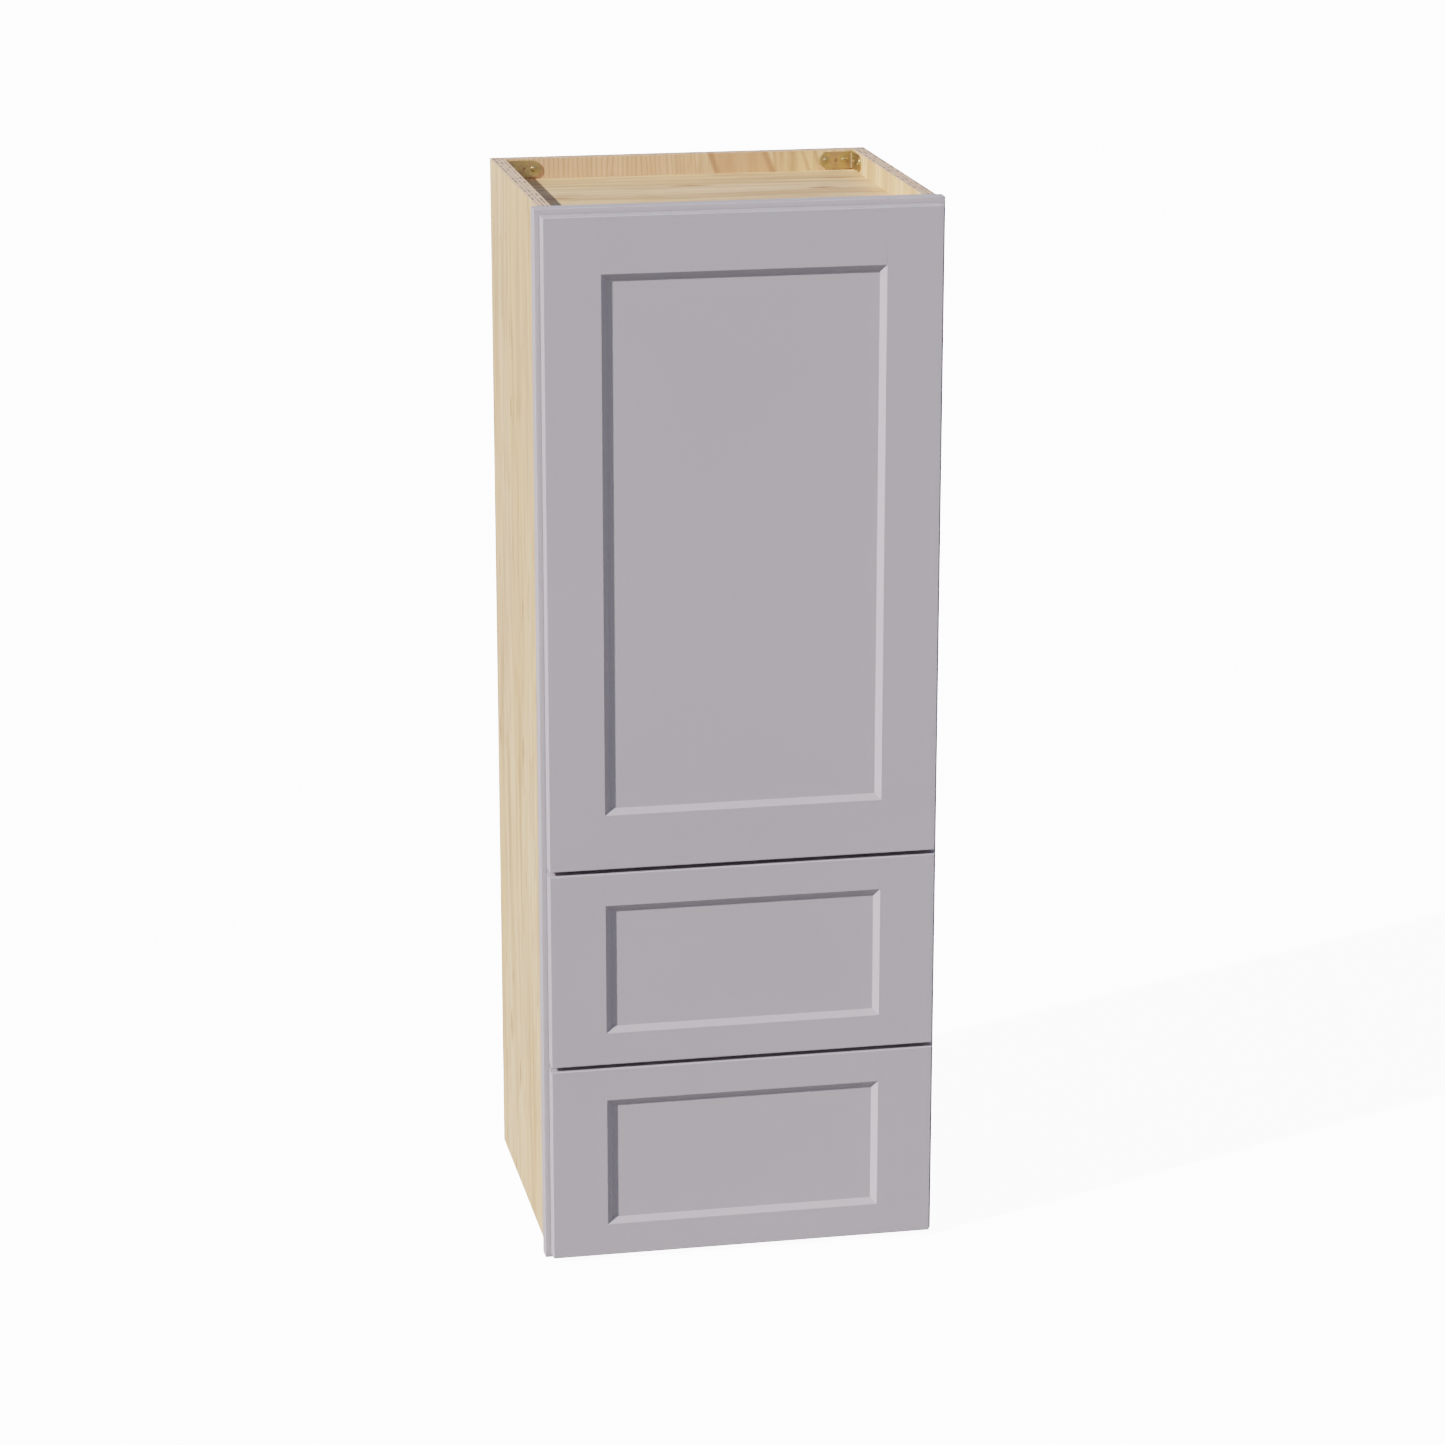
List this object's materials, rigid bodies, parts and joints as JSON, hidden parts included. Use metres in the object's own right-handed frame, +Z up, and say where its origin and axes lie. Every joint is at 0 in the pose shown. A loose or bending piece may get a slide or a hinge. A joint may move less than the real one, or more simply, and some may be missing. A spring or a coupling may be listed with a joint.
{
  "type": "pantry cabinet",
  "caption": "Tall wall pantry cabinet with a painted face frame, a recessed-panel door above, drawers below and a plywood case.",
  "frame": {"origin": "centre of the closed cabinet's bounding box at its bottom", "axes": "+Z up, +Y towards the wall, so the door and drawers face -Y; +X to the right seen from the front"},
  "size_m": [0.4572, 0.394, 1.2192],
  "materials": {
    "grey_paint": "satin grey paint on wood",
    "plywood": "clear-coated pale veneer plywood",
    "drawer_wood": "clear-coated pale solid wood",
    "yellow_zinc": "yellow zinc plate",
    "bright_steel": "bright zinc plate",
    "clear_bumper": "clear soft plastic"
  },
  "bodies": {
    "cabinet": {"left_side_panel": "plywood", "right_side_panel": "plywood", "top_panel": "plywood", "drawer_deck": "plywood", "bottom_panel": "plywood", "back_panel": "plywood", "lower_shelf": "plywood", "upper_shelf": "plywood", "shelf_pins": "bright_steel", "frame_left_stile": "grey_paint", "frame_right_stile": "grey_paint", "frame_top_rail": "grey_paint", "frame_middle_rail": "grey_paint", "frame_drawer_rail": "grey_paint", "frame_bottom_rail": "grey_paint", "left_corner_bracket": "yellow_zinc", "right_corner_bracket": "yellow_zinc", "bracket_screws": "yellow_zinc", "slide_blocks": "plywood", "slide_screws": "bright_steel", "upper_cabinet_slide_members": "bright_steel", "lower_cabinet_slide_members": "bright_steel", "hinge_arms": "bright_steel", "hinge_pins": "bright_steel", "hinge_arm_screws": "bright_steel"},
    "door": {"door_hinge_stile": "grey_paint", "door_latch_stile": "grey_paint", "door_top_rail": "grey_paint", "door_bottom_rail": "grey_paint", "door_panel": "grey_paint", "hinge_cups": "bright_steel", "hinge_cup_screws": "bright_steel", "door_bumpers": "clear_bumper"},
    "hinge_links": {"hinge_links": "bright_steel"},
    "upper_drawer": {"upper_front_stiles": "grey_paint", "upper_front_rails": "grey_paint", "upper_front_panel": "grey_paint", "upper_box_left_side": "drawer_wood", "upper_box_right_side": "drawer_wood", "upper_box_front": "drawer_wood", "upper_box_back": "drawer_wood", "upper_box_bottom": "drawer_wood", "upper_drawer_slide_members": "bright_steel", "upper_drawer_screws": "bright_steel", "upper_drawer_bumpers": "clear_bumper"},
    "upper_slide_middle": {"upper_middle_slide_members": "bright_steel"},
    "lower_drawer": {"lower_front_stiles": "grey_paint", "lower_front_rails": "grey_paint", "lower_front_panel": "grey_paint", "lower_box_left_side": "drawer_wood", "lower_box_right_side": "drawer_wood", "lower_box_front": "drawer_wood", "lower_box_back": "drawer_wood", "lower_box_bottom": "drawer_wood", "lower_drawer_slide_members": "bright_steel", "lower_drawer_screws": "bright_steel", "lower_drawer_bumpers": "clear_bumper"},
    "lower_slide_middle": {"lower_middle_slide_members": "bright_steel"}
  },
  "joints": [
    {"name": "door_hinge", "type": "hinge", "parent": "cabinet", "child": "door", "pos_m": [-0.21725, -0.18752, 0.8433], "axis": [0, 0, -1], "range_deg": [0, 105]},
    {"name": "hinge_link_swing", "type": "hinge", "parent": "cabinet", "child": "hinge_links", "pos_m": [-0.1885, -0.18252, 0.8433], "axis": [0, 0, 1], "range_deg": [0, 25.2]},
    {"name": "upper_drawer_slide", "type": "slide", "parent": "cabinet", "child": "upper_drawer", "axis": [0, -1, 0], "range_m": [0, 0.35]},
    {"name": "upper_slide_middle_travel", "type": "slide", "parent": "cabinet", "child": "upper_slide_middle", "axis": [0, -1, 0], "range_m": [0, 0.176]},
    {"name": "lower_drawer_slide", "type": "slide", "parent": "cabinet", "child": "lower_drawer", "axis": [0, -1, 0], "range_m": [0, 0.35]},
    {"name": "lower_slide_middle_travel", "type": "slide", "parent": "cabinet", "child": "lower_slide_middle", "axis": [0, -1, 0], "range_m": [0, 0.176]}
  ],
  "couplings": [
    {"joint": "hinge_link_swing", "follows": "door_hinge", "ratio": 0.2381},
    {"joint": "upper_slide_middle_travel", "follows": "upper_drawer_slide", "ratio": 0.5},
    {"joint": "lower_slide_middle_travel", "follows": "lower_drawer_slide", "ratio": 0.5}
  ]
}
